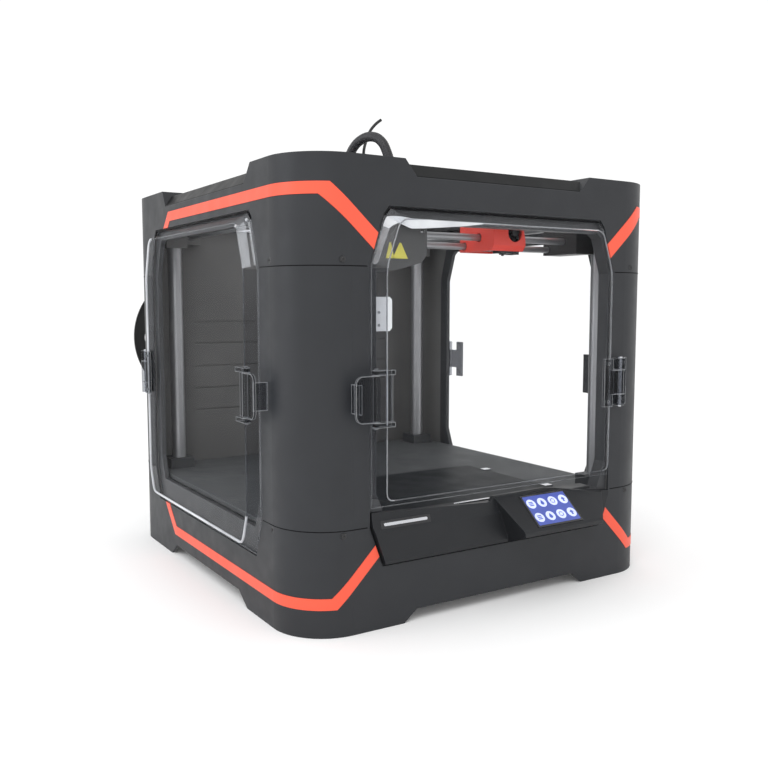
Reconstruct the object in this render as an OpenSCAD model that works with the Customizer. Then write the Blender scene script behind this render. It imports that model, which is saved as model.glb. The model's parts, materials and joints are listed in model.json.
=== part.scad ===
// Enclosed desktop filament printer: moulded case with three bulged clear doors, a raised bed on four
// guide rods, a cross gantry with a print head, a console with a small touch screen and a rear reel.
// Millimetres, +Z up, front towards -Y, resting on z = 0. The origin is the middle of the footprint.

/* [Case] */
// Case width over the side faces
case_w = 500; // [460:1:540]
// Case depth over the front and back faces
case_d = 530; // [500:1:560]
// Case height from the table to the top rim
case_h = 480; // [460:1:520]
// Outer radius of the four upright corners
corner_r = 60; // [50:1:70]
// Wall of the moulded case
wall = 4; // [3:0.5:5]
// Height of the seam between base and corner columns
seam_lo = 109; // [100:1:120]
// Height of the seam between corner columns and top
seam_hi = 372; // [360:1:380]

/* [Doors] */
// Lower edge of the door pockets
door_lo = 66; // [60:1:75]
// Upper edge of the door pockets
door_hi = 432; // [420:1:436]
// Half width of the front door pocket
door_hx = 170; // [160:1:176]
// Half width of the side door pockets
door_hy = 178; // [170:1:182]
// How far the clear doors bulge out of the case
bulge = 12; // [8:1:16]
// Gap around each door
door_gap = 1.5; // [1:0.25:2.5]
// Lower edge of the front door, above the console
front_door_lo = 126; // [125:0.5:130]
// Thickness of the clear sheet
pane_t = 2.5; // [2:0.5:3]

/* [Lift] */
// Radius of the upright guide rods
z_rod_r = 10; // [8:0.5:11]
// Height of the lift table's top at its lowest
deck_z = 100; // [98:1:102]
// Heated bed width
bed_w = 282; // [240:1:290]
// Heated bed depth
bed_d = 208; // [200:1:212]

/* [Gantry] */
// Middle of the gantry beam at rest
gantry_y = -185; // [-190:1:-180]
// Middle of the print head at rest
head_x = 50; // [0:1:70]
// Height of the front cross rod
x_rod_z = 412; // [411:1:413]
// Height of the front to back rods
y_rod_z = 432; // [431:1:433]

/* [Reel] */
// Reel flange radius
reel_r = 100; // [90:1:105]
// Reel axis, across
reel_x = -132; // [-140:1:-120]
// Reel axis, height
reel_z = 282; // [270:1:300]

/* [Hidden] */
$fn = 96;
hw = case_w/2;
hd = case_d/2;
shift_y = -(73 - 40)/2;       // the reel reaches 73 behind the case and the console 40 before it
rod_x = 208; rod_y = 205;
screw_y = 222;
bed_y = -127;                 // middle of the heated bed
x_rod_pos = [[-4, x_rod_z], [24, x_rod_z - 9]];   // cross rods: y from the beam's middle, and z
arm_z = [213, 270];           // height of the door blocks
dark = [0.26, 0.27, 0.30]; darker = [0.16, 0.17, 0.18]; coral = [0.98, 0.45, 0.35];
steel = [0.78, 0.79, 0.80]; clear = [0.80, 0.84, 0.86, 0.35]; black = [0.06, 0.06, 0.07];

// stiff guide tube, from the head's fitting up through the open top to its bare end
tube_pts = [[50,-204,456],[50,-204,463],[49,-202,471],[48,-195,480],[46,-182,487],[41,-160,491],
            [35,-130,493],[28,-100,494],[20,-70,495],[12,-42,496],[5,-18,498],[0,1,504],[-3,15,514],
            [-3,24,527],[0,30,541],[5,32,555],[12,33,569],[21,34,579],[30,34,586]];
// corrugated loom, from the clip on the top frame over the arch to the clip on the gantry's rail
loom_pts = [[-14,221,466],[-14,221,471],[-14,221,478],[-14,214,490],[-14,196,497],[-14,160,499],
            [-14,110,500],[-14,78,503],[-14,61,512],[-14,51,526],[-14,41,539],[-14,24,549],[-14,0,553],
            [-14,-24,549],[-14,-41,539],[-14,-51,526],[-14,-60,511],[-14,-72,497],[-14,-92,488],
            [-14,-116,484],[-14,-134,479],[-14,-143,471],[-14,-146,464],[-14,-146,460],
            [-14,-146,456]];
// short loom from the rail's clip to the head
loom2_pts = [[-2,-146,453],[-2,-146,457],[-2,-146,461],[1,-146,468],[8,-147,477],[19,-149,483],
            [31,-153,483],[40,-157,477],[44,-160,468],[45,-161,460],[45,-161,455],[45,-161,450]];

module place() { translate([0, shift_y, 0]) children(); }
module rr(w, d, r) {
    square([w - 2*r, d], center = true);
    square([w, d - 2*r], center = true);
    for (sx = [-1, 1], sy = [-1, 1]) translate([sx*(w/2 - r), sy*(d/2 - r)]) circle(r);
}
module ring(w, d, r, t) difference() { rr(w, d, r); rr(w - 2*t, d - 2*t, r - t); }
// a profile drawn in x and z, run along y
module along_y(y0, y1) translate([0, y1, 0]) rotate([90, 0, 0]) linear_extrude(y1 - y0) children();
// a profile drawn in y and z, run along x
module along_x(x0, x1) translate([x0, 0, 0]) rotate([90, 0, 90]) linear_extrude(x1 - x0) children();
module bar(a, b) translate(a) cube(b - a);
// eight-sided door outline with small upper corners; d insets it, z0 and z1 are its ends
function door_pts(h, z0, z1, d) = [
    [h - 15 - 0.8*d, z0 + d], [h - d, z0 + 41 + 0.3*d], [h - d, z1 - 59 - 0.2*d],
    [h - 16 - 0.9*d, z1 - 8 - 0.8*d], [h - 23 - 0.9*d, z1 - d],
    [-h + 23 + 0.9*d, z1 - d], [-h + 16 + 0.9*d, z1 - 8 - 0.8*d],
    [-h + d, z1 - 59 - 0.2*d], [-h + d, z0 + 41 + 0.3*d], [-h + 15 + 0.8*d, z0 + d]];
// the front door's outline has a straight lower edge
function front_pts(h, z0, z1, d) = [
    [h - d, z0 + d], [h - d, z1 - 59 - 0.2*d], [h - 16 - 0.9*d, z1 - 8 - 0.8*d],
    [h - 23 - 0.9*d, z1 - d], [-h + 23 + 0.9*d, z1 - d], [-h + 16 + 0.9*d, z1 - 8 - 0.8*d],
    [-h + d, z1 - 59 - 0.2*d], [-h + d, z0 + d]];
module pocket_front(d, y0, y1) along_y(y0, y1) polygon(door_pts(door_hx, door_lo, door_hi, d));
module pocket_side(d, x0, x1) along_x(x0, x1) polygon(door_pts(door_hy, door_lo, door_hi, d));
module pockets() {
    pocket_front(0, -hd - 1, -hd + 40);
    pocket_side(0, -hw - 1, -hw + 40);
    pocket_side(0, hw - 40, hw + 1);
}
// accent strip outlines on the front and on the sides
module strip_front_hi(s) polygon([for (q = [[252,440],[222,440],[150,375],[140,387],[212,452],[252,452]])
    [s*q[0], q[1]]]);
module strip_front_lo(s) polygon([for (q = [[252,29],[207,29],[145,91],[145,108],[212,41],[252,41]])
    [s*q[0], q[1]]]);
module strip_side_hi() polygon([[-268,440],[97,440],[113,424],[130,424],[102,452],[-268,452]]);
module strip_side_lo() polygon([[-268,29],[102,29],[142,69],[125,69],[97,41],[-268,41]]);
// s picks the left or the right half, out is how far the strip stands out of the case
module half_space(s, x0, y1, z0, z1) bar([min(s*x0, s*300), -300, z0], [max(s*x0, s*300), y1, z1]);
module strip_hi(s, out) difference() {
    intersection() {
        translate([0, 0, 375]) linear_extrude(80)
            ring(case_w + 2*out, case_d + 2*out, corner_r + out, 1.5 + out);
        union() {
            intersection() { along_y(-300, -190) strip_front_hi(s); half_space(s, 0, -190, 370, 460); }
            intersection() { along_x(-300, 300) strip_side_hi(); half_space(s, 212, 300, 370, 460); }
        }
    }
    pockets();
}
module strip_lo(s, out) difference() {
    intersection() {
        translate([0, 0, 20]) linear_extrude(85)
            ring(case_w + 2*out, case_d + 2*out, corner_r + out, 1.5 + out);
        union() {
            intersection() { along_y(-300, -190) strip_front_lo(s); half_space(s, 0, -190, 10, 108); }
            intersection() { along_x(-300, 300) strip_side_lo(); half_space(s, 212, 300, 10, 108); }
        }
    }
    pockets();
}
// case screws: two on each column's faces at each seam
module at_screws(out) for (sx = [-1, 1], z = [seam_lo - 5, seam_hi + 6]) {
    for (sy = [-1, 1]) translate([sx*200, sy*(hd + out), z]) rotate([sy*90, 0, 0]) children();
    for (sy = [-1, 1]) translate([sx*(hw + out), sy*204, z]) rotate([0, -sx*90, 0]) children();
}

// ---- case -------------------------------------------------------------------------------------
// scoop along the top edge: a sloping grip between the raised corner blocks
module scoop_y(s, a, b) intersection() {
    along_x(-160, 160) polygon([[s*(hd + 1), 461], [s*(hd - 12), 476.5], [s*(hd - 40), 476.5],
        [s*(hd - 40), 490], [s*(hd + 1), 490]]);
    along_y(-300, 300) polygon([[-a, 461], [a, 461], [b, 490], [-b, 490]]);
}
module scoop_x(s, a, b) intersection() {
    along_y(-175, 175) polygon([[s*(hw + 1), 458], [s*(hw - 12), 474], [s*(hw - 40), 475.5],
        [s*(hw - 40), 490], [s*(hw + 1), 490]]);
    along_x(-300, 300) polygon([[-a, 458], [b, 458], [b + 18, 490], [-a - 28, 490]]);
}
module upper_housing() color(dark) place() difference() {
    union() {
        translate([0, 0, seam_hi]) linear_extrude(case_h - seam_hi) ring(case_w, case_d, corner_r, wall);
        translate([0, 0, 456]) linear_extrude(case_h - 456)
            ring(case_w - 2, case_d - 2, corner_r - 1, 29);
    }
    pockets();
    for (s = [-1, 1]) { scoop_y(s, 112, 136); scoop_x(s, 140, 112); strip_hi(s, 1); }
    // finger slot behind each side scoop's rear end
    for (s = [-1, 1]) bar([s > 0 ? hw - 20 : -hw - 2, 74, 463], [s > 0 ? hw + 2 : -hw + 20, 112, 474]);
    at_screws(2) cylinder(h = 3.5, r = 3.2);
}
module base_housing() color(dark) place() difference() {
    linear_extrude(seam_lo) ring(case_w, case_d, corner_r, wall);
    pockets();
    for (s = [-1, 1]) strip_lo(s, 1);
    along_y(-300, 300) polygon([[-129,-1],[-112,13],[112,13],[129,-1]]);
    along_x(-300, 300) polygon([[-137,-1],[-112,15],[98,15],[119,-1]]);
    at_screws(2) cylinder(h = 3.5, r = 3.2);
}
module corner_columns() color(dark) place() for (sx = [-1, 1], sy = [-1, 1]) intersection() {
    translate([0, 0, seam_lo]) linear_extrude(seam_hi - seam_lo) ring(case_w, case_d, corner_r, wall);
    bar([sx > 0 ? door_hx : -hw - 1, sy > 0 ? door_hy : -hd - 1, 0],
        [sx > 0 ? hw + 1 : -door_hx, sy > 0 ? hd + 1 : -door_hy, 500]);
}
module fan_frame() translate([105, hd - 3.9, 300]) rotate([90, 0, 0]) difference() {
    union() {
        difference() {
            linear_extrude(14.5) rr(80, 80, 5);
            translate([0, 0, -1]) cylinder(h = 17, r = 37.5);
        }
        translate([0, 0, 11.5]) cylinder(h = 3, r = 16);
        for (i = [0:3]) rotate([0, 0, 45 + i*90]) translate([15, -2, 11.5]) cube([23.5, 4, 3]);
    }
    for (sx = [-1, 1], sy = [-1, 1]) translate([sx*35.7, sy*35.7, -1]) cylinder(h = 17, r = 2.2);
}
module back_panel() color(darker) place() {
    difference() {
        union() {
            bar([-door_hx, hd - wall, seam_lo], [door_hx, hd, seam_hi]);
            // socket well
            bar([106, hd - 17, 136], [164, hd - wall + 1, 178]);
        }
        bar([110, hd - 13, 140], [160, hd + 1, 174]);
        bar([72, hd - 10, 143], [96, hd + 1, 171]);
        // fan opening
        translate([105, hd - 5, 300]) rotate([-90, 0, 0]) cylinder(h = 6, r = 37.5);
        for (i = [0:6]) bar([-40, hd - 5, 130 + i*9], [40, hd + 1, 134 + i*9]);
        // reel base seat
        on_reel_axis(hd - 1.5) cylinder(h = 3, r = 34);
    }
    // finger guard
    translate([105, hd, 300]) rotate([90, 0, 0]) {
        for (r = [12, 22, 31]) difference() {
            cylinder(h = 2, r = r);
            translate([0, 0, -1]) cylinder(h = 4, r = r - 1.6);
        }
        for (i = [0:1]) rotate([0, 0, 45 + i*90]) translate([-38, -1, 0]) cube([76, 2, 2]);
    }
    fan_frame();
}
module back_liner() color(darker) place() difference() {
    bar([-224, 243, 64], [224, 246, 448]);
    for (z = [175, 208, 241, 275, 307]) bar([-168, 242, z - 1.4], [168, 244.6, z + 1.4]);
    // cable pass
    translate([120, 242, 90]) rotate([-90, 0, 0]) cylinder(h = 6, r = 9);
}
module door_frames() color(darker) place() {
    difference() {
        union() {
            pocket_front(-7, -hd + 4, -hd + 7);
            // the jamb on the hinge side is narrower, so the lining sits off the middle
            translate([3.4, 0, 0]) along_y(-hd + 7, -hd + 20)
                polygon(door_pts(door_hx + 8.4, door_lo, door_hi, 12));
        }
        translate([3.4, 0, 0]) along_y(-hd - 1, -hd + 41)
            polygon(door_pts(door_hx + 8.4, 97, door_hi, 15));
    }
    for (s = [-1, 1]) difference() {
        union() {
            pocket_side(-7, s > 0 ? hw - 7 : -hw + 4, s > 0 ? hw - 4 : -hw + 7);
            pocket_side(11, s > 0 ? hw - 10 : -hw + 7, s > 0 ? hw - 7 : -hw + 10);
        }
        along_x(s > 0 ? hw - 12 : -hw + 3, s > 0 ? hw - 3 : -hw + 12)
            polygon(door_pts(door_hy, 81, door_hi, 14));
    }
    // backing blocks of the side doors' catches
    for (s = [-1, 1]) bar([s > 0 ? hw - 12.2 : -hw + 9, -door_hy + 2, arm_z[0] + 1],
                          [s > 0 ? hw - 9 : -hw + 12.2, -door_hy + 26, arm_z[1] - 4]);
}
module accent_strips() color(coral) place() for (s = [-1, 1]) { strip_hi(s, 0.4); strip_lo(s, 0.4); }
module bottom_plate() color(darker) place() difference() {
    translate([0, 0, 16]) linear_extrude(3)
        rr(case_w - 2*wall - 1, case_d - 2*wall - 1, corner_r - wall - 0.5);
    for (i = [0:8], s = [-1, 1]) bar([s*90 - 40, -40 + i*10, 15], [s*90 + 40, -36 + i*10, 20]);
}
module rubber_feet() color(black) place() for (sx = [-1, 1], sy = [-1, 1])
    translate([sx*205, sy*215, 0]) { cylinder(h = 16, r = 15); }
module floor_pan() color(darker) place() difference() {
    translate([0, 0, 60]) linear_extrude(3) rr(case_w - 15, case_d - 15, corner_r - 8);
    translate([0, screw_y, 59]) cylinder(h = 5, r = 12);
    translate([120, 180, 59]) cylinder(h = 5, r = 9);
}
module case_screws() color(steel) place() at_screws(-0.2) difference() {
    cylinder(h = 1.3, r = 3.1);
    translate([0, 0, -1]) cylinder(h = 1.6, r = 1.3, $fn = 24);
}

// ---- console ----------------------------------------------------------------------------------
tilt = atan2(30, 36);
module on_slope(u, w) translate([0, -hd + 1 - u*cos(tilt), 122 - u*sin(tilt)]) rotate([tilt, 0, 0])
    translate([0, 0, w]) children();
lean = atan2(4, 13);
module on_bevel() translate([0, -hd - 5, 103]) rotate([-lean, 0, 0]) children();
module console() color(dark) place() difference() {
    union() {
        intersection() {
            along_y(-hd - 10, -hd + 4) polygon([[-153.2,68],[153.2,68],[168,108.5],[157,109.5],[67,123],
                [-10,122],[-14,116],[-168,123.5],[-168,108.5]]);
            along_x(-170, 170) polygon([[-hd + 4,66],[-hd - 2,66],[-hd - 5,72],[-hd - 5,103],
                [-hd - 1,116],[-hd + 0.5,126],[-hd + 4,126]]);
        }
        intersection() {
            along_x(-20, 165) polygon([[-hd + 1,122],[-hd - 39,88.67],[-hd - 40,86],[-hd - 38,81],
                [-hd - 5,68.5],[-hd + 1,68.5]]);
            along_y(-hd - 45, -hd + 5) polygon([[-10,122],[67,123],[157,109],[150,68],[10,68]]);
            translate([0, -hd, 60]) linear_extrude(70) polygon([[-12,2],[2,-41],[120,-41],[160,2]]);
        }
        bar([-142, -hd + 3, 113], [142, -hd + 20, 116]);
    }
    // screen recess in the sloping face
    on_slope(0, -3) translate([24, -51, 0]) cube([67, 45, 8]);
    // name-plate recess
    on_bevel() bar([-159, -1, 3], [-97, 1, 12]);
    // finger slot in the shelf
    bar([-52, -hd + 9, 114.4], [-5, -hd + 14, 118]);
}
module touch_screen() color(black) place() on_slope(0, -3) translate([24.2, -50.8, 0])
    cube([66.6, 44.6, 3.6]);
module name_plate() color(steel) place() on_bevel() bar([-158.8, -0.2, 3.2], [-97.2, 1, 11.8]);

// ---- interior bits on the case ----------------------------------------------------------------
module label_plate() color(darker) place() difference() {
    along_y(-hd + 13, -hd + 14.5)
        polygon([[-159.6,364],[-122,371],[-98,378],[-92,386],[-92,416.6],[-138.4,416.6],
                 [-145.2,411.7],[-159.3,371.5]]);
    translate([-98, -hd + 12, 410]) rotate([-90, 0, 0]) cylinder(h = 3, r = 2);
}
module door_sensor() color([0.92, 0.92, 0.90]) place() difference() {
    along_y(-hd + 15, -hd + 19)
        polygon([[-159.7,307],[-137,307],[-134,310],[-134,339],[-137,342],[-159.7,342]]);
    for (z = [313, 326]) translate([-150, -hd + 14, z]) rotate([-90, 0, 0]) cylinder(h = 6, r = 1.6);
}
module electronics() color([0.10, 0.30, 0.20]) place() {
    // power supply
    difference() {
        bar([-120, -60, 19], [95, 55, 49]);
        for (i = [0:8], j = [0:3]) translate([-95 + i*20, -40 + j*22, 46]) cylinder(h = 4, r = 3);
    }
    // main board on its posts
    bar([112, -85, 23], [216, 65, 24.6]);
    for (sx = [0, 1], sy = [0, 1]) translate([117 + sx*94, -80 + sy*140, 19]) cylinder(h = 4, r = 3);
    for (i = [0:3]) bar([124 + i*21, 10, 24.6], [136 + i*21, 24, 34]);
    bar([150, -50, 24.6], [180, -20, 28]);
    for (i = [0:5]) bar([122 + i*14, 45, 24.6], [132 + i*14, 58, 33]);
}
module power_inlet() color(black) place() {
    difference() {
        bar([110.2, hd - 12.8, 140.2], [159.8, hd + 1.5, 173.8]);
        bar([121, hd - 9, 147], [149, hd + 2, 167]);
    }
    for (p = [[135, 161], [128, 153], [142, 153]])
        translate([p[0], hd - 9, p[1]]) rotate([-90, 0, 0]) cylinder(h = 8, r = 1.8);
}
module power_switch() color(black) place() {
    translate([84, hd - 0.5, 157]) intersection() {
        rotate([0, 90, 0]) cylinder(h = 22, r = 11.4, center = true);
        translate([-11, -7.5, -11]) cube([22, 11, 22]);
    }
}
module fan_rotor() color(black) place() translate([105, hd - 3, 300]) rotate([90, 0, 0]) {
    cylinder(h = 9, r = 15);
    for (i = [0:6]) rotate([0, 0, i*360/7]) translate([14, -1.2, 1]) rotate([28, 0, 0]) cube([21, 2, 9]);
}

// ---- reel -------------------------------------------------------------------------------------
module on_reel_axis(y) translate([reel_x, y, reel_z]) rotate([-90, 0, 0]) children();
module reel_holder() color(darker) place() on_reel_axis(hd - 1.4) difference() {
    union() {
        cylinder(h = 6, r = 33.8);
        cylinder(h = 70, r = 25.9);
        translate([0, 0, 70]) cylinder(h = 4.4, r = 30);
    }
    translate([0, 0, 8]) cylinder(h = 80, r = 21);
    for (i = [0:3]) rotate([0, 0, i*90]) translate([29.9, 0, -1]) cylinder(h = 10, r = 2);
}
module reel() color(black) place() on_reel_axis(hd + 5.5) difference() {
    union() {
        cylinder(h = 3, r = reel_r);
        cylinder(h = 62, r = 29);
        translate([0, 0, 59]) cylinder(h = 3, r = reel_r);
    }
    translate([0, 0, -1]) cylinder(h = 70, r = 26);
    for (i = [0:5], z = [-1, 58]) rotate([0, 0, i*60]) translate([64, 0, z]) cylinder(h = 5, r = 20);
    translate([94, 0, -1]) cylinder(h = 5, r = 1.5);
}
module filament() color([0.88, 0.88, 0.86]) place() on_reel_axis(hd + 8.6) difference() {
    cylinder(h = 55.8, r = 82);
    translate([0, 0, -1]) cylinder(h = 70, r = 29.1);
}

// ---- doors ------------------------------------------------------------------------------------
// clear tray: a flange in the pocket and a bevelled bulge, built facing -Y
module tray(fa, fb, ga, gb) difference() {
    union() {
        along_y(-hd + 0.5, -hd + 3.5) polygon(fa);
        hull() {
            along_y(-hd + 0.4, -hd + 0.6) polygon(fa);
            along_y(-hd - bulge, -hd - bulge + 0.2) polygon(fb);
        }
    }
    hull() {
        along_y(-hd + 2, -hd + 5) polygon(ga);
        along_y(-hd - bulge + pane_t, -hd - bulge + pane_t + 0.2) polygon(gb);
    }
}
module front_pane() color(clear) place() tray(
    front_pts(door_hx, front_door_lo, door_hi, door_gap),
    front_pts(door_hx, front_door_lo - 3, door_hi, 13),
    front_pts(door_hx, front_door_lo, door_hi, 7), front_pts(door_hx, front_door_lo - 3, door_hi, 14.5));
module side_tray() rotate([0, 0, -90]) translate([0, hd - hw, 0]) tray(
    door_pts(door_hy, door_lo, door_hi, door_gap), door_pts(door_hy, door_lo, door_hi, 13),
    door_pts(door_hy, door_lo, door_hi, 7), door_pts(door_hy, door_lo, door_hi, 14.5));
module left_pane() color(clear) place() side_tray();
module right_pane() color(clear) place() mirror([1, 0, 0]) side_tray();

// door blocks, drawn for a door that faces -Y with its edge at x = 0, door towards -x, case towards +x
// and the case face at y = 0. The upright hinge axis is 6 past the edge and 9 in front of the face.
ax = 6; ay = 9;
module knuckle(z0, z1, r) translate([ax, -ay, z0]) cylinder(h = z1 - z0, r = r);
module door_leaf() {
    difference() {
        union() {
            bar([-26, -bulge - 3.4, arm_z[0]], [-12, -bulge, arm_z[1]]);
            bar([-13, -bulge - 3.4, arm_z[0] + 14], [ax, -bulge, arm_z[1] - 14]);
            knuckle(arm_z[0] + 14, arm_z[1] - 14, 6);
        }
        knuckle(arm_z[0] - 1, arm_z[1] + 1, 2.55);
        for (z = [arm_z[0] + 6, arm_z[1] - 6])
            translate([-19, -bulge - 4, z]) rotate([-90, 0, 0]) cylinder(h = 5, r = 1.6);
    }
}
module case_leaf() difference() {
    union() {
        bar([3, -2.4, arm_z[0]], [24, 0, arm_z[1]]);
        for (z = [[arm_z[0], arm_z[0] + 13.8], [arm_z[1] - 13.8, arm_z[1]]]) {
            knuckle(z[0], z[1], 6);
            bar([ax - 3, -ay, z[0]], [ax + 6, -2, z[1]]);
        }
    }
    knuckle(arm_z[0] - 1, arm_z[1] + 1, 2.5);
    for (z = [arm_z[0] + 6, arm_z[1] - 6])
        translate([19, -4, z]) rotate([-90, 0, 0]) cylinder(h = 5, r = 1.6);
}
module hinge_pin() knuckle(arm_z[0] - 1.5, arm_z[1] + 1.5, 2.5);
// latch: two ears on the door hold a lever that reaches over the case edge
lx = 2; ly = 16;
module latch_bracket() difference() {
    union() {
        bar([-18, -bulge - 3, arm_z[0]], [-11.5, -bulge, arm_z[1]]);
        for (z = [arm_z[0], arm_z[1] - 5]) {
            bar([-18, -ly - 4, z], [lx, -bulge, z + 5]);
            translate([lx, -ly, z]) cylinder(h = 5, r = 4);
        }
    }
    translate([lx, -ly, arm_z[0] - 1]) cylinder(h = 60, r = 2.05);
}
module latch_lever() {
    translate([lx, -ly, arm_z[0] - 1.5]) cylinder(h = 60, r = 2);
    translate([lx, -ly, arm_z[0] + 5.3]) cylinder(h = 46.4, r = 4);
    intersection() {
        along_y(-ly - 3.6, -ly - 0.6) translate([2, (arm_z[0] + arm_z[1])/2])
            rr(50, arm_z[1] - arm_z[0] - 10.6, 8);
        bar([lx, -ly - 4, arm_z[0]], [30, -ly, arm_z[1]]);
    }
    bar([19, -ly - 1, arm_z[0] + 14], [22, -1.5, arm_z[1] - 14]);
}
module at_front_right() translate([door_hx, -hd, 0]) children();
module at_front_left() translate([-door_hx, -hd, 0]) mirror([1, 0, 0]) children();
// side doors: hinge at the back edge, latch at the front edge
module at_left_back() translate([-hw, door_hy, 0]) rotate([0, 0, -90]) mirror([1, 0, 0]) children();
module at_left_front() translate([-hw, -door_hy, 0]) rotate([0, 0, -90]) children();
module at_right_back() mirror([1, 0, 0]) at_left_back() children();
module at_right_front() mirror([1, 0, 0]) at_left_front() children();
module fittings_front() { at_front_right() door_leaf(); at_front_left() latch_bracket(); }
module fittings_left() { at_left_back() door_leaf(); at_left_front() latch_bracket(); }
module front_fittings() color(clear) place() fittings_front();
module left_fittings() color(clear) place() fittings_left();
module right_fittings() color(clear) place() mirror([1, 0, 0]) fittings_left();
module case_leaves() color(clear) place() {
    at_front_right() case_leaf(); at_left_back() case_leaf(); at_right_back() case_leaf();
}
module hinge_pins() color(black) place() {
    at_front_right() hinge_pin(); at_left_back() hinge_pin(); at_right_back() hinge_pin();
}
module front_latch() color(clear) place() at_front_left() latch_lever();
module left_latch() color(clear) place() at_left_front() latch_lever();
module right_latch() color(clear) place() at_right_front() latch_lever();

// ---- lift -------------------------------------------------------------------------------------
module at_rods() for (sx = [-1, 1], sy = [-1, 1]) translate([sx*rod_x, sy*rod_y, 0]) children();
module guide_rods() color(steel) place() {
    at_rods() translate([0, 0, 66]) cylinder(h = 358, r = z_rod_r);
    for (s = [-1, 1]) translate([s*175, -242, y_rod_z]) rotate([-90, 0, 0]) cylinder(h = 484, r = 5);
}
module rod_mounts() color(coral) place() {
    for (sx = [-1, 1], sy = [-1, 1]) {
        difference() {
            bar([sx*rod_x - 15, sy*rod_y - 15, 63], [sx*rod_x + 15, sy*rod_y + 15, 73]);
            translate([sx*rod_x, sy*rod_y, 66]) cylinder(h = 20, r = z_rod_r);
        }
        difference() {
            union() {
                bar([min(sx*194, sx*224), sy*rod_y - 15, 412], [max(sx*194, sx*224), sy*rod_y + 15, 428]);
                bar([min(sx*206, sx*224), sy*rod_y - 13, 427], [max(sx*206, sx*224), sy*rod_y + 13, 450]);
            }
            translate([sx*rod_x, sy*rod_y, 400]) cylinder(h = 24, r = z_rod_r);
            translate([sx*190, sy*202, 440]) rotate([0, 90, 0]) cylinder(h = 60, r = 3.05, center = true);
        }
    }
    for (sx = [-1, 1], sy = [-1, 1]) difference() {
        bar([sx*175 - 14, sy*235.4 - 7.4, 419], [sx*175 + 14, sy*235.4 + 7.4, 450]);
        translate([sx*175, sy*235.4, y_rod_z]) rotate([90, 0, 0]) cylinder(h = 40, r = 5, center = true);
    }
    // upper bearing of the lead screw, on the liner
    difference() {
        bar([-16, 208, 428], [16, 243, 440]);
        translate([0, screw_y, 427]) cylinder(h = 14, r = 4.05);
    }
}
module lift_table() color([0.36, 0.38, 0.40]) place() difference() {
    translate([0, 0, deck_z - 6]) linear_extrude(6) rr(474, 472, 46);
    at_rods() bar([-17.2, -17.2, 70], [17.2, 17.2, 110]);
    translate([0, screw_y, 70]) cylinder(h = 40, r = 11);
    bar([-bed_w/2 - 0.5, bed_y - bed_d/2 - 0.5, deck_z - 3.2],
        [bed_w/2 + 0.5, bed_y + bed_d/2 + 0.5, deck_z + 1]);
}
module z_bearings() color(darker) place() {
    at_rods() difference() {
        bar([-17, -17, 78], [17, 17, 114]);
        translate([0, 0, 70]) cylinder(h = 60, r = z_rod_r + 0.06);
    }
    // nut on the lead screw
    translate([0, screw_y, 0]) difference() {
        union() {
            translate([0, 0, 84]) cylinder(h = 22, r = 10.9);
            translate([0, 0, deck_z]) cylinder(h = 4, r = 14);
        }
        translate([0, 0, 80]) cylinder(h = 30, r = 4.06);
    }
}
module lead_screw() color(steel) place() translate([0, screw_y, 0]) {
    translate([0, 0, 69]) cylinder(h = 369, r = 4);
    translate([0, 0, 62]) difference() {
        cylinder(h = 15, r = 9.5);
        translate([0, 0, -1]) cylinder(h = 6, r = 2.5);
    }
}
module stepper_motors() color(darker) place() {
    translate([0, screw_y, 19]) {
        linear_extrude(38) difference() {
            square(42, center = true);
            for (a = [45:90:315]) rotate(a) translate([29.5, 0]) square([6, 20], center = true);
        }
        translate([0, 0, 38]) cylinder(h = 2, r = 11);
        translate([0, 0, 38]) cylinder(h = 8.6, r = 2.45);
    }
    difference() {
        union() {
            bar([24, 181.5, 419], [62, 222.5, 461]);
            bar([28, 222, 444], [58, 230, 450]);
        }
        translate([43, 202, 440]) rotate([0, 90, 0]) cylinder(h = 60, r = 3.06, center = true);
    }
}
module heated_bed() color([0.10, 0.11, 0.12]) place() {
    bar([-bed_w/2, bed_y - bed_d/2, deck_z - 3.2], [bed_w/2, bed_y + bed_d/2, deck_z - 0.8]);
    translate([0, bed_y, deck_z - 0.6]) linear_extrude(3.4) rr(bed_w, bed_d, 4);
}
module bed_clips() color(steel) place() for (sx = [-1, 1], y = [-186, -62]) {
    bar([sx*(bed_w/2 + 2) - 6, y - 5, deck_z + 2.8], [sx*(bed_w/2 + 2) + 6, y + 5, deck_z + 3.6]);
    bar([sx > 0 ? bed_w/2 + 1 : -bed_w/2 - 8, y - 5, deck_z],
        [sx > 0 ? bed_w/2 + 8 : -bed_w/2 - 1, y + 5, deck_z + 3]);
}

// ---- gantry -----------------------------------------------------------------------------------
module top_frame() color(darker) place() {
    translate([0, 0, 450]) linear_extrude(6) difference() { rr(488, 516, 54); rr(412, 448, 8); }
    difference() {
        bar([-24, 212, 455], [-4, 232, 470]);
        translate([-14, 221, 466]) cylinder(h = 10, r = 6.6);
    }
}
module y_shaft() color(steel) place() translate([0, 202, 440]) {
    rotate([0, 90, 0]) cylinder(h = 432, r = 3, center = true);
    for (s = [-1, 1]) translate([s*197, 0, 0]) rotate([0, 90, 0]) difference() {
        cylinder(h = 8, r = 7, center = true);
        cylinder(h = 12, r = 3, center = true);
    }
}
module y_idlers() color(steel) place() for (s = [-1, 1])
    translate([s*197, -202, 440]) rotate([0, 90, 0]) {
        cylinder(h = 8, r = 7, center = true);
        translate([0, 0, s*9]) cylinder(h = 26, r = 3, center = true);
    }
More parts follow.
